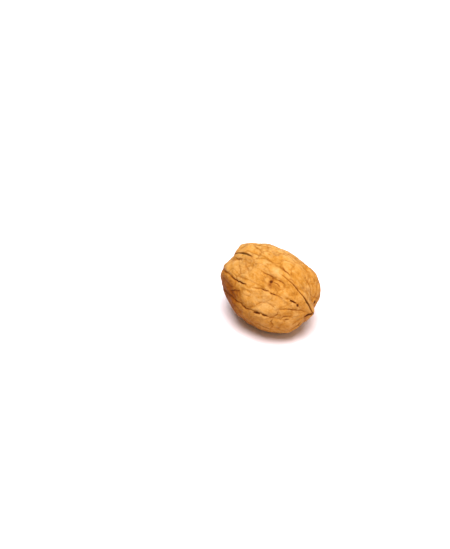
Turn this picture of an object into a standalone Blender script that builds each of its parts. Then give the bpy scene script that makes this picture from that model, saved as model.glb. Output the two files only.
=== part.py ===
"""A whole walnut in its shell, lying on its side on a small flat spot.

The nut is one closed body. Its own frame has +X towards the pointed tip, +Z towards the upper
seam and +Y across the cheeks. A place on it is a station, 0 at the blunt base and 100 at the tip,
and an angle round the long axis, 0 on the upper seam and positive over the cheek that faces -Y.
Sizes are in millimetres and angles in degrees, and MM turns them into Blender's metres.
"""

import math
import random

import bmesh
import bpy
import numpy as np
from mathutils import Matrix, Vector, noise

MM = 0.001

# Driving dimensions of the smooth nut
HALF_LENGTH = 20.6
HALF_ACROSS_CHEEKS = 16.7
HALF_ALONG_SEAM = 15.1
TIP_FULLNESS = 0.05
SHOULDER_FULLNESS = 0.27
BEAK_HEIGHT = 1.5
BEAK_SPREAD = 0.13
BASE_HOLLOW = 0.4
BASE_SPREAD = 0.6

# How it lies
TIP_DOWN = 7.5
ROLL_TO_FRONT = 17.0
FLAT_SPOT_DEPTH = 0.4
FLOOR_CUTTER_SIDE = 80

# The seam, where the two halves of the shell meet
SEAM_RIDGE_HEIGHT = 0.65
SEAM_RIDGE_HALF_WIDTH = 2.3
SEAM_RIDGE_SHARPNESS = 3
SEAM_GUTTER_DEPTH = 0.25
SEAM_GUTTER_AT = 3.1
SEAM_GUTTER_HALF_WIDTH = 0.9
# Where the seam runs: station, and millimetres aside of the nut's middle plane
SEAM_LINE = [
    (0, -0.1), (8, -0.1), (16, 0.1), (22, 0.8), (28, 0.4), (35, 0.1),
    (60, -0.2), (72, 0.0), (84, 0.0), (92, -0.15), (100, 0.1),
]
SEAM_SMOOTHING = 6.0
# Each stretch of the seam's crack: first and last station, depth, half width
SEAM_CRACKS = [
    (3, 33, 0.8, 0.45),
    (30, 76, 0.12, 0.3),
    (74, 96, 0.4, 0.3),
    (90, 104, 0.8, 0.38),
]
LOWER_SEAM_CRACK = (4, 99, 0.4, 0.35)
CRACK_FADE = 7

# Furrows of the front cheek, which faces -Y: depth, half width, then (station, angle) along each
FRONT_FURROWS = [
    (0.95, 0.55, [(3, 56), (10, 47), (19, 42), (27, 43), (35, 41), (45, 39)]),
    (0.45, 0.45, [(41, 40), (48, 39), (54, 36), (59, 32), (66, 30), (71, 29), (77, 26), (86, 25)]),
    (0.5, 0.45, [(83, 27), (88, 24), (92, 23), (95, 29)]),
    (0.85, 0.6, [(7, 94), (18, 80), (26, 72), (33, 70), (40, 70), (47, 67), (53, 69)]),
    (0.9, 0.55, [(50, 70), (57, 70), (64, 68), (71, 67), (77, 66)]),
    (0.4, 0.45, [(74, 64), (81, 67), (88, 70)]),
    (0.5, 0.45, [(50, 8), (58, 10), (66, 10), (72, 8), (79, 8)]),
    (0.55, 0.45, [(60, -13), (64, -9), (69, -8), (75, -8)]),
    (0.45, 0.45, [(79, 54), (85, 48), (91, 42), (96, 39), (99, 35)]),
    (0.35, 0.45, [(81, 67), (84, 59), (83, 51)]),
    (0.35, 0.45, [(81, 67), (80, 77), (81, 88), (79, 100)]),
    (0.4, 0.5, [(63, 57), (65, 51), (69, 48), (74, 46), (80, 49)]),
    (0.45, 0.5, [(62, 93), (69, 91), (76, 95), (81, 100)]),
    (0.35, 0.45, [(86, 69), (89, 61), (93, 58), (97, 66)]),
    (0.35, 0.45, [(93, 92), (95, 84), (97, 79), (99, 75)]),
    (0.5, 0.5, [(25, 61), (32, 62), (36, 64), (40, 69)]),
    (0.4, 0.6, [(14, 58), (23, 56), (31, 59)]),
    (0.35, 0.5, [(30, 66), (36, 58), (42, 53)]),
    (0.35, 0.5, [(34, 13), (37, 19), (44, 27)]),
    (0.4, 0.4, [(14, 10), (20, 11), (25, 9)]),
    (0.5, 0.35, [(28, 43), (35, 41), (39, 40), (45, 38)]),
    (0.4, 0.35, [(86, 25), (89, 23), (92, 23)]),
    (0.55, 0.35, [(59, 70), (65, 68), (72, 66), (79, 66)]),
]

# Furrows of the back cheek and of the underside run from base to tip by a seeded wander
BACK_SEED = 7
BACK_ANGLES = [-24, -42, -58, -76, -94, -112, -130, -147, -166, 177, 146, 130, 115]
BACK_FIRST_STATIONS = (3, 12)
BACK_LAST_STATION = 97
BACK_LAST_START = 88
BACK_SPANS = (2, 4)
BACK_STEPS = (6.3, 10.8)
BACK_SWING = 5.0
BACK_RETURN = 0.4
BACK_GAPS = (0, 8)
BACK_DEPTHS = (0.4, 0.95)
BACK_HALF_WIDTHS = (0.45, 0.65)

# Swellings and hollows: height, radius, station, angle
SWELLS = [
    (1.1, 6.0, 93, 100),
    (1.25, 6.0, 90, -70),
    (0.6, 3.5, 94, -105),
    (-0.45, 2.5, 95, 160),
    (0.8, 5.0, 87, 130),
    (1.15, 4.4, 9, -32),
    (0.9, 6.0, 20, -30),
    (1.1, 5.0, 7, 50),
    (0.35, 5.0, 11, 94),
    (-1.9, 2.8, 3, -6),
    (-1.0, 2.2, 8, 4),
    (-0.5, 5.0, 58, -62),
    (0.15, 6.0, 24, 104),
    (0.8, 8.0, 54, 108),
    (0.5, 4.0, 55, 165),
    (0.5, 5.0, 24, 26),
    (0.45, 5.0, 54, 23),
    (0.5, 6.0, 42, 57),
    (0.4, 5.0, 72, 82),
    (0.45, 5.0, 52, -50),
    (-0.5, 2.2, 65, 17),
    (-0.6, 2.4, 98, -50),
    (-0.35, 5.0, 68, 42),
]

# The low lumps and the raised net between the furrows
NOISE_SEED = 5
# Height and size of each layer of lumps
LUMPS = [(0.5, 7.0), (0.32, 3.4)]
NET_DEPTH = 0.22
NET_CELLS_ROUND = 3.1
NET_CELLS_ALONG = 0.17
NET_LINE = 0.16
NET_WARP = 0.35
NET_WARP_SIZE = 5.0
# The net fades in and out over patches of this size
NET_PATCH_SIZE = 9.0
NET_PATCH_MEAN = 0.55
NET_PATCH_SWING = 1.3
NET_PATCH_SHIFT = Vector((40, 0, 0))

SHELL_COLOUR = (0.62, 0.32, 0.10, 1)
SHELL_ROUGHNESS = 0.55

STEPS_PER_SPAN = 5
CUBE_CUTS = 95
TRIANGLES = 11400


def clear_scene():
    """Removes what the scene starts with."""
    for thing in list(bpy.data.objects):
        bpy.data.objects.remove(thing)


def ray_at(station, angle):
    """The unit ray from the nut's middle to a station and an angle."""
    x = 2 * station / 100 - 1
    radius = math.sqrt(max(0.0, 1 - x * x))
    turn = math.radians(angle)
    return (x, -radius * math.sin(turn), radius * math.cos(turn))


def smooth_nut(rays):
    """Points of the nut without its relief, for unit rays."""
    x = np.clip(rays[:, 0], -1, 1)
    from_tip = np.arccos(x)
    shoulders = 1 + TIP_FULLNESS * x + SHOULDER_FULLNESS * (1 + x) / 2 * x**2 * (1 - x**2)
    beak = BEAK_HEIGHT * np.exp(-from_tip / BEAK_SPREAD)
    hollow = BASE_HOLLOW * np.exp(-(((np.pi - from_tip) / BASE_SPREAD) ** 2))
    return np.column_stack([
        HALF_LENGTH * x + beak + hollow,
        HALF_ACROSS_CHEEKS * rays[:, 1] * shoulders,
        HALF_ALONG_SEAM * rays[:, 2] * shoulders,
    ])


def outward(rays):
    """Unit normals of the plain ellipsoid, along which the relief stands."""
    normals = rays / np.array([HALF_LENGTH, HALF_ACROSS_CHEEKS, HALF_ALONG_SEAM])
    return normals / np.linalg.norm(normals, axis=1, keepdims=True)


def nearest_on_route(points, route):
    """Each point's distance to a line of points, and how far along the line its nearest place is."""
    nearest = np.full(len(points), np.inf)
    along = np.zeros(len(points))
    spans = len(route) - 1
    for i, (start, end) in enumerate(zip(route[:-1], route[1:])):
        run = end - start
        share = np.clip((points - start) @ run / (run @ run), 0, 1)
        gap = np.linalg.norm(points - start - share[:, None] * run, axis=1)
        nearer = gap < nearest
        nearest[nearer] = gap[nearer]
        along[nearer] = (i + share[nearer]) / spans
    return nearest, along


def route_on_nut(places):
    """A smooth line through (station, angle) places, laid on the smooth nut."""
    places = np.array(places, float)
    knots = np.arange(len(places))
    fine = np.linspace(0, len(places) - 1, STEPS_PER_SPAN * (len(places) - 1) + 1)
    stations = np.interp(fine, knots, places[:, 0])
    angles = np.interp(fine, knots, places[:, 1])
    return smooth_nut(np.array([ray_at(s, a) for s, a in zip(stations, angles)]))


def furrow(points, depth, half_width, places):
    """A crease with a sharp floor and round shoulders, that runs out at both ends."""
    gap, along = nearest_on_route(points, route_on_nut(places))
    running_out = np.sqrt(np.clip(4 * along * (1 - along), 0, 1))
    return -depth * running_out * np.exp(-gap / half_width)


def back_furrows():
    """Furrows for the back cheek and the underside, broken where the wander rests."""
    draw = random.Random(BACK_SEED)
    made = []
    for own_angle in BACK_ANGLES:
        angle = own_angle
        station = draw.uniform(*BACK_FIRST_STATIONS)
        while station < BACK_LAST_START:
            places = [(station, angle)]
            for _ in range(draw.randint(*BACK_SPANS)):
                station += draw.uniform(*BACK_STEPS)
                angle += draw.uniform(-BACK_SWING, BACK_SWING)
                places.append((min(station, BACK_LAST_STATION), angle))
            made.append((draw.uniform(*BACK_DEPTHS), draw.uniform(*BACK_HALF_WIDTHS), places))
            station += draw.uniform(*BACK_GAPS)
            angle += BACK_RETURN * (own_angle - angle)
    return made


def crack(station, aside, first, last, depth, half_width):
    """Depth of a straight crack along the seam, fading in and out at its ends."""
    fade_in = np.clip((station - first) / CRACK_FADE, 0, 1)
    fade_out = np.clip((last - station) / CRACK_FADE, 0, 1)
    return depth * fade_in * fade_out * np.exp(-aside / half_width)


def seam_middle(station):
    """How far aside of the middle plane the seam runs, smoothed between its places."""
    places = np.array(SEAM_LINE, float)
    weights = np.exp(-(((station[:, None] - places[:, 0]) / SEAM_SMOOTHING) ** 2))
    return weights @ places[:, 1] / weights.sum(axis=1)


def seam_relief(points, rays):
    """The raised band of the seam, the gutters beside it and the crack along its middle."""
    station = 50 * (rays[:, 0] + 1)
    aside = np.abs(points[:, 1] - seam_middle(station))
    height = SEAM_RIDGE_HEIGHT * np.exp(-((aside / SEAM_RIDGE_HALF_WIDTH) ** SEAM_RIDGE_SHARPNESS))
    height -= SEAM_GUTTER_DEPTH * np.exp(-(((aside - SEAM_GUTTER_AT) / SEAM_GUTTER_HALF_WIDTH) ** 2))
    upper = rays[:, 2] > 0
    for first, last, depth, half_width in SEAM_CRACKS:
        height -= upper * crack(station, aside, first, last, depth, half_width)
    height -= ~upper * crack(station, aside, *LOWER_SEAM_CRACK)
    return height


def swells(points):
    """Broad swellings and hollows of the cheeks."""
    height = np.zeros(len(points))
    for rise, radius, station, angle in SWELLS:
        centre = smooth_nut(np.array([ray_at(station, angle)]))[0]
        height += rise * np.exp(-((np.linalg.norm(points - centre, axis=1) / radius) ** 2))
    return height


def net_relief(points, rays):
    """Low lumps, and a net of shallow grooves drawn out from base to tip."""
    height = np.empty(len(points))
    for i, (point, ray) in enumerate(zip(points, rays)):
        place = Vector(point)
        lump = sum(rise * noise.noise(place / size) for rise, size in LUMPS)
        turn = math.atan2(-ray[1], ray[2])
        cell = Vector((
            NET_CELLS_ROUND * math.cos(turn),
            NET_CELLS_ROUND * math.sin(turn),
            NET_CELLS_ALONG * point[0],
        ))
        cell += NET_WARP * noise.noise_vector(place / NET_WARP_SIZE)
        distances, _ = noise.voronoi(cell)
        patch = noise.noise(place / NET_PATCH_SIZE + NET_PATCH_SHIFT)
        strength = min(1.0, max(0.0, NET_PATCH_MEAN + NET_PATCH_SWING * patch))
        groove = NET_DEPTH * strength * math.exp(-(distances[1] - distances[0]) / NET_LINE)
        height[i] = lump - groove
    return height


def relief(points, rays):
    """Height of the finished surface above the smooth nut."""
    height = seam_relief(points, rays) + swells(points) + net_relief(points, rays)
    for depth, half_width, places in FRONT_FURROWS + back_furrows():
        height += furrow(points, depth, half_width, places)
    return height


def nut_mesh():
    """The nut in its own frame: a finely cut cube blown up to a sphere, shaped and given relief."""
    noise.seed_set(NOISE_SEED)
    mesh = bpy.data.meshes.new("walnut")
    shape = bmesh.new()
    bmesh.ops.create_cube(shape, size=2)
    bmesh.ops.subdivide_edges(shape, edges=shape.edges[:], cuts=CUBE_CUTS, use_grid_fill=True)
    cube = np.array([vertex.co for vertex in shape.verts])
    rays = np.tan(cube * math.pi / 4)
    rays /= np.linalg.norm(rays, axis=1, keepdims=True)
    points = smooth_nut(rays)
    points += outward(rays) * relief(points, rays)[:, None]
    for vertex, point in zip(shape.verts, points * MM):
        vertex.co = point
    shape.to_mesh(mesh)
    shape.free()
    return mesh


def shell_material():
    """Tan walnut shell."""
    material = bpy.data.materials.new("shell")
    material.use_nodes = True
    surface = material.node_tree.nodes["Principled BSDF"]
    surface.inputs["Base Color"].default_value = SHELL_COLOUR
    surface.inputs["Roughness"].default_value = SHELL_ROUGHNESS
    surface.inputs["Metallic"].default_value = 0.0
    return material


def world_points(thing):
    """The evaluated vertices in world space."""
    graph = bpy.context.evaluated_depsgraph_get()
    evaluated = thing.evaluated_get(graph)
    mesh = evaluated.to_mesh()
    points = np.array([evaluated.matrix_world @ vertex.co for vertex in mesh.vertices])
    evaluated.to_mesh_clear()
    return points


def thin_out(nut):
    """Spends the triangles where the surface bends."""
    triangles = sum(len(face.vertices) - 2 for face in nut.data.polygons)
    decimate = nut.modifiers.new("even_out", "DECIMATE")
    decimate.ratio = TRIANGLES / triangles


def lay_down(nut):
    """Tilts and rolls the nut, and sinks it by the flat spot's depth, centred on the origin."""
    tilt = Matrix.Rotation(math.radians(TIP_DOWN), 4, "Y")
    roll = Matrix.Rotation(math.radians(ROLL_TO_FRONT), 4, "X")
    nut.matrix_world = tilt @ roll
    bpy.context.view_layer.update()
    points = world_points(nut)
    low, high = points.min(axis=0), points.max(axis=0)
    nut.location = (-(low[0] + high[0]) / 2, -(low[1] + high[1]) / 2, -low[2] - FLAT_SPOT_DEPTH * MM)


def cut_flat_spot(nut, cutters):
    """Slices off what lies under the floor, which leaves the flat spot."""
    side = FLOOR_CUTTER_SIDE * MM
    mesh = bpy.data.meshes.new("floor_cutter")
    block = bmesh.new()
    bmesh.ops.create_cube(block, size=side)
    block.to_mesh(mesh)
    block.free()
    floor = bpy.data.objects.new("floor_cutter", mesh)
    floor.location.z = -side / 2
    floor.hide_render = True
    floor.display_type = "WIRE"
    cutters.objects.link(floor)
    cut = nut.modifiers.new("flat_spot", "BOOLEAN")
    cut.operation = "DIFFERENCE"
    cut.object = floor


def main():
    clear_scene()
    walnut = bpy.data.collections.new("walnut")
    cutters = bpy.data.collections.new("cutters")
    bpy.context.scene.collection.children.link(walnut)
    bpy.context.scene.collection.children.link(cutters)
    nut = bpy.data.objects.new("walnut", nut_mesh())
    nut.data.materials.append(shell_material())
    walnut.objects.link(nut)
    thin_out(nut)
    lay_down(nut)
    cut_flat_spot(nut, cutters)
    nut.data.shade_smooth()


main()
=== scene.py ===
"""A whole walnut lying on its side: the fine surface of its shell, its finish, the light and the view.

The nut's own frame has +X towards the pointed tip, +Z towards the upper seam and +Y across the
cheeks. A place on it is a station, 0 at the blunt base and 100 at the tip, and an angle round the
long axis, 0 on the upper seam and positive over the front cheek, which faces -Y. Sizes are in
millimetres and angles in degrees, and MM turns them into Blender's metres.
"""

import math
import random

import bmesh
import bpy
import numpy as np
from mathutils import Matrix, Vector, noise


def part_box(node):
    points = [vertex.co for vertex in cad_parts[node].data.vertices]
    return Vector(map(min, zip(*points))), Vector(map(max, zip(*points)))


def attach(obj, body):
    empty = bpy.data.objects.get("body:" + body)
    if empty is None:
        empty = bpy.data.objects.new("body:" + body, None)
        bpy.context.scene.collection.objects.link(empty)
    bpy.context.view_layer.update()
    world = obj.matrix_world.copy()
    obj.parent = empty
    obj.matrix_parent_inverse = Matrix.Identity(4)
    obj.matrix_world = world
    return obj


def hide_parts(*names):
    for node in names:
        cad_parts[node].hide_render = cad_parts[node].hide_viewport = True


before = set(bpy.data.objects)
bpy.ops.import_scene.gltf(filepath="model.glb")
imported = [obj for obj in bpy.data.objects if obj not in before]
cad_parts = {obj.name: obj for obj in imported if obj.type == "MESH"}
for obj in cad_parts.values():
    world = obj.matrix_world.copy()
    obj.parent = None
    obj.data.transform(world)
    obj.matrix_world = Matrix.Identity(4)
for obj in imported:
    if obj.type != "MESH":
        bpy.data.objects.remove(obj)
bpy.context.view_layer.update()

MM = 0.001

# The smooth nut, as in the solid
HALF_LENGTH = 20.6
HALF_ACROSS_CHEEKS = 16.7
HALF_ALONG_SEAM = 15.1
TIP_FULLNESS = 0.05
SHOULDER_FULLNESS = 0.27
BEAK_HEIGHT = 1.5
BEAK_SPREAD = 0.13
BASE_HOLLOW = 0.4
BASE_SPREAD = 0.6

# How it lies
TIP_DOWN = 7.5
ROLL_TO_FRONT = 17.0

# The seam, where the two halves of the shell meet
SEAM_RIDGE_HEIGHT = 0.65
SEAM_RIDGE_HALF_WIDTH = 2.3
SEAM_RIDGE_SHARPNESS = 3
SEAM_GUTTER_DEPTH = 0.15
SEAM_GUTTER_AT = 3.1
SEAM_GUTTER_HALF_WIDTH = 0.9
# Where the seam runs: station, and millimetres aside of the nut's middle plane
SEAM_LINE = [
    (0, -0.1), (8, -0.1), (16, 0.1), (22, 0.8), (28, 0.4), (35, 0.1),
    (60, -0.2), (72, 0.0), (84, 0.0), (92, -0.15), (100, 0.1),
]
SEAM_SMOOTHING = 6.0
# Each stretch of the upper crack: first and last station, depth, half width, darkness, greenness
SEAM_CRACKS = [
    (3, 24, 0.5, 0.3, 0.8, 0.8),
    (13, 34, 0.5, 0.45, 0.9, 1.0),
    (65, 86, 0.2, 0.2, 0.35, 0.0),
    (75, 97, 0.4, 0.17, 0.55, 0.0),
    (90, 104, 0.8, 0.3, 1.0, 0.6),
]
LOWER_SEAM_CRACK = (4, 99, 0.4, 0.25, 0.55, 0.0)
CRACK_FADE = 7
# Share of its half width that the seam's crack keeps at its ends, and of the wander that it takes
SEAM_CRACK_END = 0.4
SEAM_CRACK_WANDER = 0.35
OLIVE_REACH = 1.2

# Furrows of the front cheek: depth, half width, then (station, angle) along each
FRONT_FURROWS = [
    (0.95, 0.55, [(3, 56), (10, 47), (19, 42), (27, 43), (35, 41), (45, 39)]),
    (0.45, 0.45, [(41, 40), (48, 39), (54, 36), (59, 32), (66, 30), (71, 29), (77, 26), (86, 25)]),
    (0.5, 0.45, [(83, 27), (88, 24), (92, 23), (95, 29)]),
    (0.85, 0.6, [(7, 94), (18, 80), (26, 72), (33, 70), (40, 70), (47, 67), (53, 69)]),
    (0.9, 0.55, [(50, 70), (57, 70), (64, 68), (71, 67), (77, 66)]),
    (0.4, 0.45, [(74, 64), (81, 67), (88, 70)]),
    (0.3, 0.45, [(50, 8), (58, 10), (66, 10), (72, 8), (79, 8)]),
    (0.55, 0.45, [(60, -13), (64, -9), (69, -8), (75, -8)]),
    (0.45, 0.45, [(79, 54), (85, 48), (91, 42), (96, 39), (99, 35)]),
    (0.35, 0.45, [(81, 67), (84, 59), (83, 51)]),
    (0.35, 0.45, [(81, 67), (80, 77), (81, 88), (79, 100)]),
    (0.4, 0.5, [(63, 57), (65, 51), (69, 48), (74, 46), (80, 49)]),
    (0.45, 0.5, [(62, 93), (69, 91), (76, 95), (81, 100)]),
    (0.35, 0.45, [(86, 69), (89, 61), (93, 58), (97, 66)]),
    (0.2, 0.45, [(93, 92), (95, 84), (97, 79), (99, 75)]),
    (0.5, 0.5, [(25, 61), (32, 62), (36, 64), (40, 69)]),
    (0.4, 0.6, [(14, 58), (23, 56), (31, 59)]),
    (0.35, 0.5, [(30, 66), (36, 58), (42, 53)]),
    (0.35, 0.5, [(34, 13), (37, 19), (44, 27)]),
    (0.4, 0.4, [(14, 10), (20, 11), (25, 9)]),
]

# Cracks and fine dark lines of the front cheek, their darkness painted shade over their own brown:
# depth, half width, darkness, then places along each
FRONT_CRACKS = [
    (0.1, 0.24, 0.25, [(4, 60), (10, 50), (16, 42), (25, 43)]),
    (0.25, 0.26, 0.5, [(22, 43), (28, 43), (35, 41)]),
    (0.4, 0.27, 0.9, [(31, 43), (35, 41), (38, 40), (42, 39), (45, 38)]),
    (0.12, 0.2, 0.35, [(53, 36), (57, 34), (61, 32)]),
    (0.25, 0.22, 0.7, [(59, 32), (61, 32), (63.5, 32), (66.5, 30), (68, 30)]),
    (0.3, 0.24, 0.9, [(69, 30), (71, 31), (73, 30), (77, 28)]),
    (0.12, 0.2, 0.4, [(76, 28), (79, 29), (83, 28)]),
    (0.5, 0.3, 1.2, [(87.5, 26), (89, 25), (91, 24), (92.5, 24)]),
    (0.15, 0.2, 0.5, [(91, 23), (94, 26), (96, 31)]),
    (0.25, 0.27, 0.6, [(9, 94), (18, 83), (26, 75), (33, 71), (41, 70)]),
    (0.25, 0.26, 0.65, [(38, 71), (41, 70), (44, 70)]),
    (0.3, 0.27, 0.75, [(45, 68), (49, 70), (53, 71), (58, 71)]),
    (0.5, 0.33, 1.1, [(61.5, 71), (64, 70), (66, 69), (69, 69)]),
    (0.45, 0.3, 0.95, [(70, 68), (72, 68), (74, 67), (77.5, 67)]),
    (0.2, 0.22, 0.5, [(76, 67), (79, 68), (82, 68)]),
    (0.12, 0.2, 0.4, [(76, 65), (81, 67), (83, 62), (84, 58), (83, 52)]),
    (0.1, 0.19, 0.35, [(81, 67), (80, 77), (82, 84), (79, 96)]),
    (0.15, 0.2, 0.5, [(49, 11), (54, 11), (58, 10), (63, 9), (67, 8)]),
    (0.15, 0.22, 0.5, [(67, 9), (71, 8), (76, 8)]),
    (0.35, 0.26, 0.55, [(62, -13), (66, -10), (70, -9), (75, -8)]),
    (0.12, 0.24, 0.35, [(75, -2), (79, -4), (83, -5)]),
    (0.12, 0.2, 0.5, [(82, 50), (88, 44), (94, 41), (99, 35)]),
    (0.25, 0.24, 0.85, [(28, 65), (31, 62), (35, 56), (38, 54), (41, 51)]),
    (0.18, 0.22, 0.6, [(31, 62), (33, 66), (35, 70)]),
    (0.18, 0.22, 0.6, [(37, 55), (39, 59), (43, 62)]),
    (0.15, 0.22, 0.5, [(23, 55), (28, 56), (33, 59)]),
    (0.15, 0.22, 0.45, [(68, 91), (74, 94), (80, 98)]),
    (0.1, 0.2, 0.4, [(86.5, 72), (88, 63), (92, 61), (95, 65)]),
    (0.15, 0.27, 0.6, [(88, 71), (90, 68), (93, 69)]),
    (0.08, 0.2, 0.3, [(94, 90), (96, 82), (98.5, 78)]),
    (0.2, 0.47, 1.3, [(98.9, 80), (99.4, 74), (99.7, 63), (99.9, 58), (99.98, 20)]),
    (0.15, 0.22, 0.5, [(66, 14), (70, 14), (75, 16)]),
    (0.05, 0.22, 0.2, [(63, 57), (65, 51), (69, 48)]),
    (0.05, 0.2, 0.2, [(72, 47), (77, 47), (81, 49)]),
    (0.2, 0.26, 0.5, [(13, 8), (18, 10), (23, 8), (25, 12)]),
    (0.12, 0.26, 0.3, [(84, -40), (86, -36), (88, -32)]),
    (0.12, 0.26, 0.35, [(85, -47), (88, -50), (90, -53)]),
]

# Raised lips beside some cracks and along the seam: height, half width, then places along each
FRONT_LIPS = [
    (0.3, 0.45, [(40, 43), (47, 42), (53, 39), (60, 36)]),
    (0.25, 0.6, [(36, -9), (42, -10), (48, -11), (56, -12)]),
    (0.25, 0.4, [(58, 3), (64, 3), (70, 3), (76, 3)]),
    (0.25, 0.45, [(58, 66), (64, 64), (70, 63), (76, 63)]),
    (0.2, 0.4, [(14, 47), (22, 46), (30, 46)]),
    (0.2, 0.35, [(55, 0), (60, 0.5), (65, 2), (70, 3)]),
]

# Furrows of the back cheek and of the underside run from base to tip by a seeded wander
BACK_SEED = 7
BACK_ANGLES = [-24, -42, -58, -76, -94, -112, -130, -147, -166, 177, 146, 130, 115]
BACK_FIRST_STATIONS = (3, 12)
BACK_LAST_STATION = 97
BACK_LAST_START = 88
BACK_SPANS = (2, 4)
BACK_STEPS = (6.3, 10.8)
BACK_SWING = 5.0
BACK_RETURN = 0.4
BACK_GAPS = (0, 8)
BACK_DEPTHS = (0.4, 0.95)
BACK_HALF_WIDTHS = (0.45, 0.65)

# A furrow is a soft valley with painted shade along its floor, and those of the back have cracks too,
# with painted shade in them
VALLEY_SHARE = 0.7
FURROW_DARKNESS = 0.2
BACK_CRACK_SHARE = 0.4
BACK_CRACK_HALF_WIDTH = 0.17
BACK_DARKNESS = 0.8
# Share of its half width that a crack keeps at its ends
CRACK_END = 0.3
# Furrows of the back nearer to the seam than this angle are softer
SOFT_TO_ANGLE = 70
SOFTENING = 0.45
# Lines wander a little to and fro, in millimetres
LINE_WANDER = 0.22
LINE_WANDER_SIZE = 1.3

# Swellings and hollows: height, radius, station, angle
SWELLS = [
    (1.1, 6.0, 93, 100),
    (1.25, 6.0, 90, -70),
    (0.6, 3.5, 94, -105),
    (-0.45, 2.5, 95, 160),
    (0.8, 5.0, 87, 130),
    (1.15, 4.4, 9, -32),
    (0.9, 6.0, 20, -30),
    (1.1, 5.0, 7, 50),
    (0.35, 5.0, 11, 94),
    (-1.9, 2.8, 3, -6),
    (-1.0, 2.2, 8, 4),
    (-0.5, 5.0, 58, -62),
    (0.15, 6.0, 24, 104),
    (0.8, 8.0, 54, 108),
    (0.5, 4.0, 55, 165),
    (0.5, 5.0, 24, 26),
    (0.45, 5.0, 54, 23),
    (0.5, 6.0, 42, 57),
    (0.4, 5.0, 72, 82),
    (0.45, 5.0, 52, -50),
    (-0.5, 2.2, 65, 17),
    (-0.6, 2.4, 98, -50),
    (-0.35, 5.0, 68, 42),
]

# Dark pits and stains: strength, radius, depth, station, angle
MARKS = [
    (1.1, 0.7, 0.3, 64, 16),
    (0.45, 1.1, 0.0, 65, 21),
    (0.35, 0.8, 0.0, 67, 23),
    (1.8, 0.42, 0.4, 93.8, 26),
    (2.4, 0.44, 0.25, 98.4, -78),
    (1.0, 0.5, 0.0, 100, 0),
]

# Browner patches, partly stains and partly painted shade, and paler ones where the strength is
# negative, painted highlight and reflection: strength, radius, station, angle
STAINS_SHADE_AND_HIGHLIGHTS = [
    (0.9, 5.0, 20, 70),
    (0.3, 7.0, 8, 94),
    (0.7, 4.0, 32, 80),
    (0.4, 5.0, 46, 92),
    (0.4, 6.0, 62, 112),
    (0.3, 3.0, 99, 90),
    (0.6, 2.5, 27, 55),
    (0.5, 3.0, 36, 61),
    (-0.5, 3.5, 67, 42),
    (-0.3, 3.0, 71, 58),
    (-0.6, 1.3, 61, 0.5),
    (-0.6, 1.2, 66, 2),
    (-0.5, 1.3, 48, -3),
    (-0.3, 5.0, 26, 22),
    (-0.2, 6.0, 14, -34),
    (-0.25, 7.0, 32, -38),
    (-0.25, 7.0, 50, -46),
    (-0.2, 6.0, 68, -52),
    (0.35, 6.0, 70, 150),
    (0.3, 7.0, 40, -140),
]

# The low lumps and the net of shallow grooves between the furrows
NOISE_SEED = 5
LUMPS = [(0.5, 7.0), (0.32, 3.4)]
NET_DEPTH = 0.22
NET_CELLS_ROUND = 3.1
NET_CELLS_ALONG = 0.17
NET_LINE = 0.16
NET_WARP = 0.35
NET_WARP_SIZE = 5.0
NET_PATCH_SIZE = 9.0
NET_PATCH_MEAN = 0.55
NET_PATCH_SWING = 1.3
NET_PATCH_SHIFT = Vector((40, 0, 0))
# Painted shade along the net's grooves
NET_DARKNESS = 0.3

# Pillowy lobes with fine wrinkles between them, finer than the solid shows
LOBE_HEIGHT = 0.28
LOBE_SIZE = Vector((7.0, 4.4, 4.4))
LOBE_SHIFT = Vector((0, 70, 0))
LOBE_ROUNDING = 0.05
LOBE_MEAN = 0.2
LOBE_EDGE = 0.03
# Painted shade along the creases between the lobes
LOBE_EDGE_DARKNESS = 0.16
WRINKLE_HEIGHT = 0.15
WRINKLE_SIZE = Vector((2.3, 1.5, 1.5))
RIPPLE_HEIGHT = 0.05
RIPPLE_SIZE = Vector((0.9, 0.6, 0.6))

# Pores and pock marks
PORE_SEED = 11
PORES = 110
PORE_REACH = 0.97
PORE_RADII = (0.12, 0.32)
PORE_DEPTHS = (0.04, 0.14)
PORE_DARKNESS = 0.3

# How finely a line and the surface are cut, and how far the surroundings of a point are smoothed
STEPS_PER_SPAN = 5
CUBE_CUTS = 126
SMOOTHING_ROUNDS = 14


def ray_at(station, angle):
    """The unit ray from the nut's middle to a station and an angle."""
    x = 2 * station / 100 - 1
    radius = math.sqrt(max(0.0, 1 - x * x))
    turn = math.radians(angle)
    return (x, -radius * math.sin(turn), radius * math.cos(turn))


def smooth_nut(rays):
    """Points of the nut without its relief, for unit rays."""
    x = np.clip(rays[:, 0], -1, 1)
    from_tip = np.arccos(x)
    shoulders = 1 + TIP_FULLNESS * x + SHOULDER_FULLNESS * (1 + x) / 2 * x**2 * (1 - x**2)
    beak = BEAK_HEIGHT * np.exp(-from_tip / BEAK_SPREAD)
    hollow = BASE_HOLLOW * np.exp(-(((np.pi - from_tip) / BASE_SPREAD) ** 2))
    return np.column_stack([
        HALF_LENGTH * x + beak + hollow,
        HALF_ACROSS_CHEEKS * rays[:, 1] * shoulders,
        HALF_ALONG_SEAM * rays[:, 2] * shoulders,
    ])


def place_on_nut(station, angle):
    """One point of the smooth nut."""
    return smooth_nut(np.array([ray_at(station, angle)]))[0]


def outward(rays):
    """Unit normals of the plain ellipsoid, along which the relief stands."""
    normals = rays / np.array([HALF_LENGTH, HALF_ACROSS_CHEEKS, HALF_ALONG_SEAM])
    return normals / np.linalg.norm(normals, axis=1, keepdims=True)


def nearest_on_route(points, route):
    """Each point's distance to a line of points, and how far along the line its nearest place is."""
    nearest = np.full(len(points), np.inf)
    along = np.zeros(len(points))
    spans = len(route) - 1
    for i, (start, end) in enumerate(zip(route[:-1], route[1:])):
        run = end - start
        share = np.clip((points - start) @ run / (run @ run), 0, 1)
        gap = np.linalg.norm(points - start - share[:, None] * run, axis=1)
        nearer = gap < nearest
        nearest[nearer] = gap[nearer]
        along[nearer] = (i + share[nearer]) / spans
    return nearest, along


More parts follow.
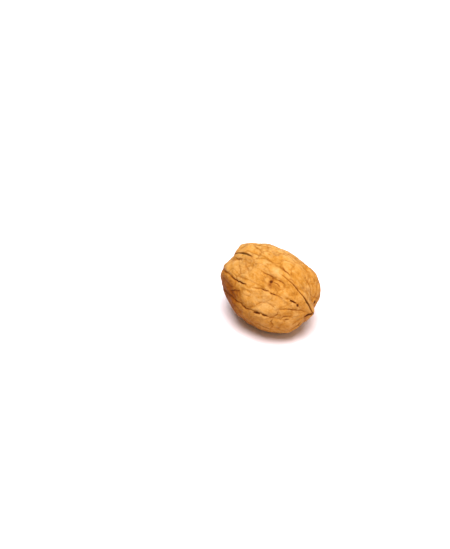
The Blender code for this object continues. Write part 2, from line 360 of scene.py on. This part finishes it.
def route_on_nut(places):
    """A smooth line through (station, angle) places, laid on the smooth nut."""
    places = np.array(places, float)
    knots = np.arange(len(places))
    fine = np.linspace(0, len(places) - 1, STEPS_PER_SPAN * (len(places) - 1) + 1)
    stations = np.interp(fine, knots, places[:, 0])
    angles = np.interp(fine, knots, places[:, 1])
    return smooth_nut(np.array([ray_at(s, a) for s, a in zip(stations, angles)]))


def back_furrows():
    """Furrows for the back cheek and the underside, broken where the wander rests."""
    draw = random.Random(BACK_SEED)
    made = []
    for own_angle in BACK_ANGLES:
        angle = own_angle
        station = draw.uniform(*BACK_FIRST_STATIONS)
        while station < BACK_LAST_START:
            places = [(station, angle)]
            for _ in range(draw.randint(*BACK_SPANS)):
                station += draw.uniform(*BACK_STEPS)
                angle += draw.uniform(-BACK_SWING, BACK_SWING)
                places.append((min(station, BACK_LAST_STATION), angle))
            made.append((draw.uniform(*BACK_DEPTHS), draw.uniform(*BACK_HALF_WIDTHS), places))
            station += draw.uniform(*BACK_GAPS)
            angle += BACK_RETURN * (own_angle - angle)
    return made


def net_line(place, ray):
    """How strong the net's grooves, drawn out from base to tip, are at a place, 0 to 1."""
    turn = math.atan2(-ray[1], ray[2])
    cell = Vector((
        NET_CELLS_ROUND * math.cos(turn),
        NET_CELLS_ROUND * math.sin(turn),
        NET_CELLS_ALONG * place.x,
    ))
    cell += NET_WARP * noise.noise_vector(place / NET_WARP_SIZE)
    distances, _ = noise.voronoi(cell)
    patch = noise.noise(place / NET_PATCH_SIZE + NET_PATCH_SHIFT)
    strength = min(1.0, max(0.0, NET_PATCH_MEAN + NET_PATCH_SWING * patch))
    return strength * math.exp(-(distances[1] - distances[0]) / NET_LINE)


def drawn_noise(place, size):
    """Noise with its own size each way."""
    return noise.noise(Vector((place.x / size.x, place.y / size.y, place.z / size.z)))


class Relief:
    """Height above the smooth nut, and how much painted shade, over their own brown, its creases get,
    at every vertex.
    """

    def __init__(self, points, rays):
        self.points = points
        self.rays = rays
        self.station = 50 * (rays[:, 0] + 1)
        self.height = np.zeros(len(points))
        self.crease = np.zeros(len(points))
        self.mark = np.zeros(len(points))
        self.olive = np.zeros(len(points))
        self.browning = np.zeros(len(points))
        self.places = [Vector(point) for point in points]
        drift = np.array([noise.noise_vector(place / LINE_WANDER_SIZE) for place in self.places])
        self.wandered = points + LINE_WANDER * drift

    def darken(self, amount):
        """Keeps the deeper of the painted crease shade a place has and what it is given."""
        self.crease = np.maximum(self.crease, amount)

    def beside(self, places):
        """Distance to a line through some places, and how open the line is there, 0 at its ends."""
        gap, along = nearest_on_route(self.wandered, route_on_nut(places))
        return gap, np.sqrt(np.clip(4 * along * (1 - along), 0, 1))

    def add_furrow(self, depth, half_width, places):
        """A soft valley, with painted shade along its floor, that runs out at both ends."""
        gap, openness = self.beside(places)
        valley = openness * np.exp(-gap / half_width)
        self.height -= VALLEY_SHARE * depth * valley
        self.darken(FURROW_DARKNESS * depth * valley)

    def add_crack(self, depth, half_width, darkness, places):
        """A narrow crack, dark with painted shade over its own brown, that runs out at both ends."""
        gap, openness = self.beside(places)
        half_width_here = half_width * (CRACK_END + (1 - CRACK_END) * openness)
        open_here = openness * np.exp(-((gap / half_width_here) ** 2))
        self.height -= depth * open_here
        self.darken(darkness * open_here)

    def add_back_furrow(self, depth, half_width, places):
        """A valley of the far side with a crack in it, softer near the seam."""
        if abs(places[0][1]) < SOFT_TO_ANGLE:
            depth *= SOFTENING
        self.add_furrow(depth, half_width, places)
        crack_depth = BACK_CRACK_SHARE * depth
        self.add_crack(crack_depth, BACK_CRACK_HALF_WIDTH, BACK_DARKNESS * depth, places)

    def add_seam(self):
        """The raised band of the seam, the gutters beside it and the cracks along its middle."""
        places = np.array(SEAM_LINE, float)
        weights = np.exp(-(((self.station[:, None] - places[:, 0]) / SEAM_SMOOTHING) ** 2))
        middle = weights @ places[:, 1] / weights.sum(axis=1)
        aside = np.abs(self.points[:, 1] - middle)
        ridge = np.exp(-((aside / SEAM_RIDGE_HALF_WIDTH) ** SEAM_RIDGE_SHARPNESS))
        self.height += SEAM_RIDGE_HEIGHT * ridge
        gutter = np.exp(-(((aside - SEAM_GUTTER_AT) / SEAM_GUTTER_HALF_WIDTH) ** 2))
        self.height -= SEAM_GUTTER_DEPTH * gutter
        wander = SEAM_CRACK_WANDER * (self.wandered - self.points)[:, 1]
        aside = np.abs(self.points[:, 1] - middle + wander)
        upper = self.rays[:, 2] > 0
        for stretch in SEAM_CRACKS:
            self.add_seam_crack(aside, upper, *stretch)
        self.add_seam_crack(aside, ~upper, *LOWER_SEAM_CRACK)

    def add_seam_crack(self, aside, here, first, last, depth, half_width, darkness, greenness):
        """A crack along the seam, pointed at both ends, dark with painted shade over its own colour,
        olive near it.
        """
        fade_in = np.clip((self.station - first) / CRACK_FADE, 0, 1)
        fade_out = np.clip((last - self.station) / CRACK_FADE, 0, 1)
        open_here = here * fade_in * fade_out
        half_width_here = half_width * (SEAM_CRACK_END + (1 - SEAM_CRACK_END) * open_here)
        profile = np.exp(-((aside / half_width_here) ** 2))
        self.height -= depth * open_here * profile
        self.darken(darkness * np.sqrt(open_here) * profile)
        near = np.exp(-((aside / OLIVE_REACH) ** 2))
        self.olive = np.maximum(self.olive, greenness * open_here * near)

    def add_swells(self):
        """Broad swellings and hollows of the cheeks."""
        for rise, radius, station, angle in SWELLS:
            reach = np.linalg.norm(self.points - place_on_nut(station, angle), axis=1) / radius
            self.height += rise * np.exp(-(reach**2))

    def add_marks(self):
        """Dark pits and stains, and browner patches, partly stains and partly painted shade, and paler
        ones of painted highlight and reflection.
        """
        for strength, radius, depth, station, angle in MARKS:
            reach = np.linalg.norm(self.wandered - place_on_nut(station, angle), axis=1) / radius
            self.mark = np.maximum(self.mark, strength * np.exp(-(reach**2)))
            self.height -= depth * np.exp(-(reach**2))
        for strength, radius, station, angle in STAINS_SHADE_AND_HIGHLIGHTS:
            reach = np.linalg.norm(self.wandered - place_on_nut(station, angle), axis=1) / radius
            self.browning += strength * np.exp(-(reach**2))

    def add_net(self):
        """Low lumps, the net of grooves, lobes and wrinkles, with painted shade in the grooves and
        along the lobes' edges.
        """
        for i, (place, ray) in enumerate(zip(self.places, self.rays)):
            lump = sum(height * noise.noise(place / size) for height, size in LUMPS)
            line = net_line(place, ray)
            lobe = drawn_noise(place + LOBE_SHIFT, LOBE_SIZE)
            lobe = math.sqrt(lobe * lobe + LOBE_ROUNDING**2) - LOBE_ROUNDING
            wrinkle = drawn_noise(place, WRINKLE_SIZE)
            ripple = drawn_noise(place, RIPPLE_SIZE)
            self.height[i] += lump - NET_DEPTH * line + LOBE_HEIGHT * (lobe - LOBE_MEAN)
            self.height[i] += WRINKLE_HEIGHT * wrinkle + RIPPLE_HEIGHT * ripple
            edge = LOBE_EDGE_DARKNESS * math.exp(-((lobe / LOBE_EDGE) ** 2))
            self.crease[i] = max(self.crease[i], NET_DARKNESS * line**2, edge)

    def add_pores(self):
        """Small round pock marks."""
        draw = random.Random(PORE_SEED)
        for _ in range(PORES):
            station = 50 + 50 * draw.uniform(-PORE_REACH, PORE_REACH)
            centre = place_on_nut(station, draw.uniform(-180, 180))
            radius = draw.uniform(*PORE_RADII)
            depth = draw.uniform(*PORE_DEPTHS)
            near = np.exp(-((np.linalg.norm(self.wandered - centre, axis=1) / radius) ** 2))
            self.height -= depth * near
            self.darken(draw.uniform(0, PORE_DARKNESS) * near)


def nut_relief(points, rays):
    """The whole relief of the shell."""
    relief = Relief(points, rays)
    for furrow in FRONT_FURROWS:
        relief.add_furrow(*furrow)
    for crack in FRONT_CRACKS:
        relief.add_crack(*crack)
    for height, half_width, places in FRONT_LIPS:
        relief.add_furrow(-height, half_width, places)
    for furrow in back_furrows():
        relief.add_back_furrow(*furrow)
    relief.add_seam()
    relief.add_swells()
    relief.add_marks()
    relief.add_net()
    relief.add_pores()
    return relief


def laid_down(points):
    """The points as the nut lies, and the matrix that lays it, fitted to the solid's box."""
    tilt = Matrix.Rotation(math.radians(TIP_DOWN), 4, "Y")
    lay = tilt @ Matrix.Rotation(math.radians(ROLL_TO_FRONT), 4, "X")
    placed = points @ np.array(lay.to_3x3()).T
    low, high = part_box("walnut")
    middle = (placed.min(axis=0) + placed.max(axis=0)) / 2
    shift = Vector((
        (low.x + high.x) / 2 / MM - middle[0],
        (low.y + high.y) / 2 / MM - middle[1],
        high.z / MM - placed[:, 2].max(),
    ))
    placed += np.array(shift)
    placed[:, 2] = np.maximum(placed[:, 2], 0)
    return placed, Matrix.Translation(shift) @ lay


def standing_out(points, edges):
    """How far each point stands out of its smoothed surroundings, in millimetres."""
    normals = points - points.mean(axis=0)
    normals /= np.linalg.norm(normals, axis=1, keepdims=True)
    count = np.bincount(edges.ravel(), minlength=len(points))[:, None]
    soft = points.copy()
    for _ in range(SMOOTHING_ROUNDS):
        total = np.zeros_like(soft)
        for a, b in ((0, 1), (1, 0)):
            for axis in range(3):
                total[:, axis] += np.bincount(
                    edges[:, a], weights=soft[edges[:, b], axis], minlength=len(points)
                )
        soft = total / count
    return ((points - soft) * normals).sum(axis=1)


def store(mesh, name, values):
    """Keeps one number for each vertex."""
    mesh.attributes.new(name, "FLOAT", "POINT").data.foreach_set("value", values.astype(np.float32))


def walnut_piece():
    """The nut: a finely cut cube blown up to a sphere, shaped, given relief and laid down."""
    noise.seed_set(NOISE_SEED)
    mesh = bpy.data.meshes.new("walnut_shell")
    shape = bmesh.new()
    bmesh.ops.create_cube(shape, size=2)
    bmesh.ops.subdivide_edges(shape, edges=shape.edges[:], cuts=CUBE_CUTS, use_grid_fill=True)
    cube = np.array([vertex.co for vertex in shape.verts])
    edges = np.array([[vertex.index for vertex in edge.verts] for edge in shape.edges])
    # The tangent spreads the cube's squares evenly over the sphere
    rays = np.tan(cube * math.pi / 4)
    rays /= np.linalg.norm(rays, axis=1, keepdims=True)
    points = smooth_nut(rays)
    relief = nut_relief(points, rays)
    points += outward(rays) * relief.height[:, None]
    placed, lay = laid_down(points)
    for vertex, point in zip(shape.verts, placed * MM):
        vertex.co = point
    shape.to_mesh(mesh)
    shape.free()
    for name in ("crease", "mark", "olive", "browning"):
        store(mesh, name, getattr(relief, name))
    # What stands out is painted paler as highlight and what sinks is painted darker as shade
    store(mesh, "standing_out", standing_out(points, edges))
    mesh.shade_smooth()
    piece = bpy.data.objects.new("walnut_shell", mesh)
    bpy.context.scene.collection.objects.link(piece)
    return piece, lay


class Value:
    """A shader socket that carries a number. Arithmetic on it adds the Math nodes."""

    def __init__(self, finish, socket):
        self.finish = finish
        self.socket = socket

    def maths(self, operation, *values):
        """A Math node on some values."""
        return self.finish.node("ShaderNodeMath", {"operation": operation}, *values)

    def __add__(self, other):
        return self.maths("ADD", self, other)

    __radd__ = __add__

    def __sub__(self, other):
        return self.maths("SUBTRACT", self, other)

    def __rsub__(self, other):
        return self.maths("SUBTRACT", other, self)

    def __mul__(self, other):
        return self.maths("MULTIPLY", self, other)

    __rmul__ = __mul__

    def clamped(self, low=0.0, high=1.0):
        """Kept between two bounds."""
        return self.maths("MINIMUM", self.maths("MAXIMUM", self, low), high)


class Finish:
    """The node tree of one material."""

    def __init__(self, name):
        self.material = bpy.data.materials.new(name)
        self.material.use_nodes = True
        self.tree = self.material.node_tree
        self.surface = self.tree.nodes["Principled BSDF"]

    def node(self, kind, settings, *values, out=None, **named):
        """A node of a kind with its settings and the values or links of the sockets in use."""
        made = self.tree.nodes.new(kind)
        for name, setting in settings.items():
            if name == "stops":
                self.set_stops(made.color_ramp, setting)
            else:
                setattr(made, name, setting)
        in_use = [socket for socket in made.inputs if socket.enabled]
        for socket, value in zip(in_use, values):
            self.feed(socket, value)
        for name, value in named.items():
            self.feed(made.inputs[name], value)
        if out is None:
            return Value(self, next(socket for socket in made.outputs if socket.enabled))
        return Value(self, made.outputs[out])

    def set_stops(self, ramp, stops):
        """Gives a colour ramp its positions and colours."""
        while len(ramp.elements) < len(stops):
            ramp.elements.new(0.5)
        for element, (position, colour) in zip(ramp.elements, stops):
            element.position = position
            element.color = (*colour, 1)

    def feed(self, socket, value):
        """Links a value to a socket, or sets the socket to a number or a colour."""
        if isinstance(value, Value):
            self.tree.links.new(value.socket, socket)
        elif socket.type == "RGBA":
            socket.default_value = (*value, 1)
        else:
            socket.default_value = value

    def attribute(self, name):
        """A number kept for each vertex of the piece."""
        return self.node("ShaderNodeAttribute", {"attribute_name": name}, out="Fac")

    def mixed(self, share, first, second):
        """Two colours mixed."""
        return self.node("ShaderNodeMix", {"data_type": "RGBA"}, share, first, second)


# The shell's colours, from what stands out most, paler there as painted highlight, to the floors of
# the cracks, dark there as painted shade over their own brown
CREAM = (0.52, 0.300, 0.120)
PALE = (0.50, 0.268, 0.078)
TAN = (0.405, 0.174, 0.025)
BROWN = (0.25, 0.080, 0.006)
# Rust-brown for real rust and stains, and for painted shade in hollows and cracks
RUST_AND_SHADE = (0.15, 0.034, 0.004)
CRACK_BROWN_AND_SHADE = (0.065, 0.018, 0.003)
CRACK_OLIVE_AND_SHADE = (0.085, 0.048, 0.009)
TONE_STOPS = [(0.32, BROWN), (0.49, TAN), (0.68, PALE), (0.92, CREAM)]

# The shell's patterns: scale per millimetre, detail and roughness
BROAD = (0.13, 3.0, 0.5)
MOTTLE = (0.5, 4.0, 0.65)
FIBRE = (2.6, 3.0, 0.6)
GRAIN = (1.5, 4.0, 0.65)
DRIFT = (0.6, 3.0, 0.6)
SCRATCH_PATCHES = (0.22, 2.0, 0.5)
# Fibres and scratches are drawn out along the nut by squeezing their scale that way
FIBRE_SCALE = (0.35, 1.0, 1.0)
SCRATCH_SCALE = (0.6, 1.0, 1.0)

# Fine scratches: size of their net, how far it is bent, thinness, and the patches that have them
SCRATCH_NET = 0.55
SCRATCH_BEND = (1.8, 1.8, 1.8)
SCRATCH_THINNESS = 14.0
SCRATCH_PATCH_GAIN = 5.0
SCRATCH_PATCH_START = 2.2

# How much each thing does to the tone
BROAD_TONE = 0.4
MOTTLE_TONE = 0.38
FIBRE_TONE = 0.25
# Painted highlight and shade from the relief, then the patches' stains, painted shade and painted
# highlight
RELIEF_HIGHLIGHT_AND_SHADE_TONE = 0.6
STAIN_SHADE_AND_HIGHLIGHT_TONE = 0.25

# How rust-brown the hollows are as painted shade, the browner patches as stains and painted shade, and
# the scratches
HOLLOW_SHADE_GAIN = 3.0
HOLLOW_SHADE_SHARE = 0.4
STAIN_SHADE_MOTTLE = 1.6
STAIN_SHADE_START = 0.3
MOST_STAIN_SHADE = 0.6
SCRATCH_RUST = 0.2
# A crack's painted shade, over its own brown, turns rust-brown first, and from this darkness on dark
# brown or olive
CRACK_GAIN = 1.8
DEEP_CRACK = 0.35

# Satin: rougher where it is mottled and in the creases, with hardly any gloss
ROUGHNESS = 0.38
MOTTLE_ROUGHNESS = 0.2
CREASE_ROUGHNESS = 0.3
SPECULAR = 0.02
COAT = 0.06
COAT_IOR = 1.25
COAT_ROUGHNESS = 0.4

# The grain's relief
FIBRE_BUMP = 0.4
GRAIN_BUMP = 0.6
SCRATCH_BUMP = 0.4
BUMP_STRENGTH = 0.8
BUMP_DEPTH = 0.35


def shell_finish(lay):
    """Satin tan shell: paler on what stands out as painted highlight, rust-brown in the hollows as
    painted shade, dark in the cracks with painted shade over their own brown.
    """
    finish = Finish("walnut_shell")
    here = finish.node("ShaderNodeTexCoord", {}, out="Object")
    turn = lay.to_euler("XYZ")
    place = finish.node(
        "ShaderNodeMapping", {"vector_type": "TEXTURE"}, here,
        Location=lay.translation * MM, Rotation=turn, Scale=(MM, MM, MM),
    )

    def noise_at(where, scale, detail, roughness, out=None):
        return finish.node(
            "ShaderNodeTexNoise", {}, where,
            Scale=scale, Detail=detail, Roughness=roughness, out=out,
        )

    broad = noise_at(place, *BROAD)
    mottle = noise_at(place, *MOTTLE)
    fibre = noise_at(finish.node("ShaderNodeMapping", {}, place, Scale=FIBRE_SCALE), *FIBRE)
    grain = noise_at(place, *GRAIN)

    drift = noise_at(place, *DRIFT, out="Color")
    bent = finish.node(
        "ShaderNodeVectorMath", {"operation": "MULTIPLY_ADD"},
        drift, SCRATCH_BEND, finish.node("ShaderNodeMapping", {}, place, Scale=SCRATCH_SCALE),
    )
    from_line = finish.node(
        "ShaderNodeTexVoronoi", {"feature": "DISTANCE_TO_EDGE"}, bent, Scale=SCRATCH_NET
    )
    patches = noise_at(place, *SCRATCH_PATCHES)
    scratched = (patches * SCRATCH_PATCH_GAIN - SCRATCH_PATCH_START).clamped()
    scratches = (1.0 - from_line * SCRATCH_THINNESS).clamped() * scratched

    crease = finish.attribute("crease")
    standing_out_here = finish.attribute("standing_out")
    browning = finish.attribute("browning")
    tone = BROAD_TONE * broad + MOTTLE_TONE * mottle + FIBRE_TONE * fibre
    # Painted highlight on what stands out, painted shade in what sinks, and the patches' stains,
    # painted shade and painted highlight
    tone = tone + RELIEF_HIGHLIGHT_AND_SHADE_TONE * standing_out_here - STAIN_SHADE_AND_HIGHLIGHT_TONE * browning
    colour = finish.node("ShaderNodeValToRGB", {"stops": TONE_STOPS}, tone.clamped())

    # Painted shade: rust-brown in the hollows, deeper the more a place sinks
    hollow_shade = ((0 - standing_out_here) * HOLLOW_SHADE_GAIN).clamped() * HOLLOW_SHADE_SHARE
    # Mottled rust-brown on the browner patches: partly stains, partly painted shade
    stain_and_shade = (browning * (STAIN_SHADE_MOTTLE * mottle - STAIN_SHADE_START)).clamped(0.0, MOST_STAIN_SHADE)
    # Rust-brown, partly real rust and stains, partly painted shade
    rusty_and_shaded = (hollow_shade + stain_and_shade + SCRATCH_RUST * scratches).clamped()
    colour = finish.mixed(rusty_and_shaded, colour, RUST_AND_SHADE)

    mark = finish.attribute("mark")
    darkness = finish.node("ShaderNodeMath", {"operation": "MAXIMUM"}, crease, mark)
    deepest_crack_shade = finish.mixed(finish.attribute("olive"), CRACK_BROWN_AND_SHADE, CRACK_OLIVE_AND_SHADE)
    # Painted shade in the cracks and creases over their own brown, and the dark of the real pits and
    # stains
    colour = finish.mixed((darkness * CRACK_GAIN).clamped(), colour, RUST_AND_SHADE)
    colour = finish.mixed(((darkness - DEEP_CRACK) * CRACK_GAIN).clamped(), colour, deepest_crack_shade)
    finish.feed(finish.surface.inputs["Base Color"], colour)

    roughness = ROUGHNESS + MOTTLE_ROUGHNESS * mottle + CREASE_ROUGHNESS * crease
    finish.feed(finish.surface.inputs["Roughness"], roughness.clamped())
    finish.feed(finish.surface.inputs["Coat Weight"], (COAT - darkness).clamped())
    finish.feed(finish.surface.inputs["Coat IOR"], COAT_IOR)
    finish.feed(finish.surface.inputs["Coat Roughness"], COAT_ROUGHNESS)
    finish.feed(finish.surface.inputs["Specular IOR Level"], SPECULAR)

    fine_height = FIBRE_BUMP * fibre + GRAIN_BUMP * grain - SCRATCH_BUMP * scratches
    bump = finish.node(
        "ShaderNodeBump", {},
        Strength=BUMP_STRENGTH, Distance=BUMP_DEPTH * MM, Height=fine_height,
    )
    finish.feed(finish.surface.inputs["Normal"], bump)
    return finish.material


# In metres
FLOOR_SIDE = 8.0
FLOOR_COLOUR = (0.76, 0.69, 0.74)
FLOOR_ROUGHNESS = 0.9
SKY_STRENGTH = 0.05
WHITE = (1.0, 1.0, 1.0)
WARM = (1.0, 0.75, 0.5)


def floor_stage():
    """A plain pale floor."""
    mesh = bpy.data.meshes.new("floor")
    shape = bmesh.new()
    bmesh.ops.create_grid(shape, x_segments=1, y_segments=1, size=FLOOR_SIDE / 2)
    shape.to_mesh(mesh)
    shape.free()
    floor = bpy.data.objects.new("floor", mesh)
    bpy.context.scene.collection.objects.link(floor)
    finish = Finish("floor")
    finish.feed(finish.surface.inputs["Base Color"], FLOOR_COLOUR)
    finish.feed(finish.surface.inputs["Roughness"], FLOOR_ROUGHNESS)
    mesh.materials.append(finish.material)


def direction(azimuth, elevation):
    """The way out from the nut at an elevation and an azimuth, 0 in front at -Y and 90 at +X."""
    turn, rise = math.radians(azimuth), math.radians(elevation)
    return Vector((
        math.sin(turn) * math.cos(rise),
        -math.cos(turn) * math.cos(rise),
        math.sin(rise),
    ))


def softbox(name, colour, azimuth, elevation, spread, strength):
    """Light from a broad patch far away, as wide as its spread."""
    lamp = bpy.data.lights.new(name, "SUN")
    lamp.angle = math.radians(spread)
    lamp.energy = strength
    lamp.color = colour
    holder = bpy.data.objects.new(name, lamp)
    holder.rotation_euler = direction(azimuth, elevation).to_track_quat("Z", "Y").to_euler()
    bpy.context.scene.collection.objects.link(holder)


def light():
    """A strong lamp overhead, weak ones in front and behind, and a faint warm sky all round."""
    world = bpy.data.worlds.new("sky")
    world.use_nodes = True
    sky = world.node_tree.nodes["Background"]
    sky.inputs["Color"].default_value = (*WARM, 1)
    sky.inputs["Strength"].default_value = SKY_STRENGTH
    bpy.context.scene.world = world
    softbox("overhead", WHITE, azimuth=40, elevation=81, spread=44, strength=6.4)
    softbox("front", WARM, azimuth=62, elevation=36, spread=55, strength=1.3)
    softbox("behind", WHITE, azimuth=218, elevation=32, spread=60, strength=0.5)
    bpy.context.scene.view_settings.view_transform = "Standard"


# The photograph: its middle, where the nut's middle shows, and pixels per millimetre there
PHOTO_MIDDLE = (225, 274.5)
NUT_IN_PHOTO = (268.7, 286.4)
PIXELS_PER_MM = 2.467
LENS = 100
SENSOR = 36
NEAREST_SEEN = 10
PHOTO_LONG_SIDE = 549
VIEW_AZIMUTH = 38.5
VIEW_ELEVATION = 38.0


def camera(nut_middle):
    """Looks down on the nut as the photograph does, and keeps its place in the frame."""
    lens = bpy.data.cameras.new("camera")
    lens.lens = LENS
    lens.sensor_width = SENSOR
    holder = bpy.data.objects.new("camera", lens)
    back = direction(VIEW_AZIMUTH, VIEW_ELEVATION)
    right = Vector((0, 0, 1)).cross(back).normalized()
    up = back.cross(right)
    distance = PHOTO_LONG_SIDE * LENS / SENSOR / PIXELS_PER_MM
    aside = (NUT_IN_PHOTO[0] - PHOTO_MIDDLE[0]) / PIXELS_PER_MM
    below = (NUT_IN_PHOTO[1] - PHOTO_MIDDLE[1]) / PIXELS_PER_MM
    holder.location = (nut_middle + back * distance - right * aside + up * below) * MM
    holder.rotation_euler = back.to_track_quat("Z", "Y").to_euler()
    lens.clip_start = NEAREST_SEEN * MM
    bpy.context.scene.collection.objects.link(holder)
    bpy.context.scene.camera = holder


piece, lay = walnut_piece()
piece.data.materials.append(shell_finish(lay))
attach(piece, "root")
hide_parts("walnut")
floor_stage()
light()
camera(lay.translation)
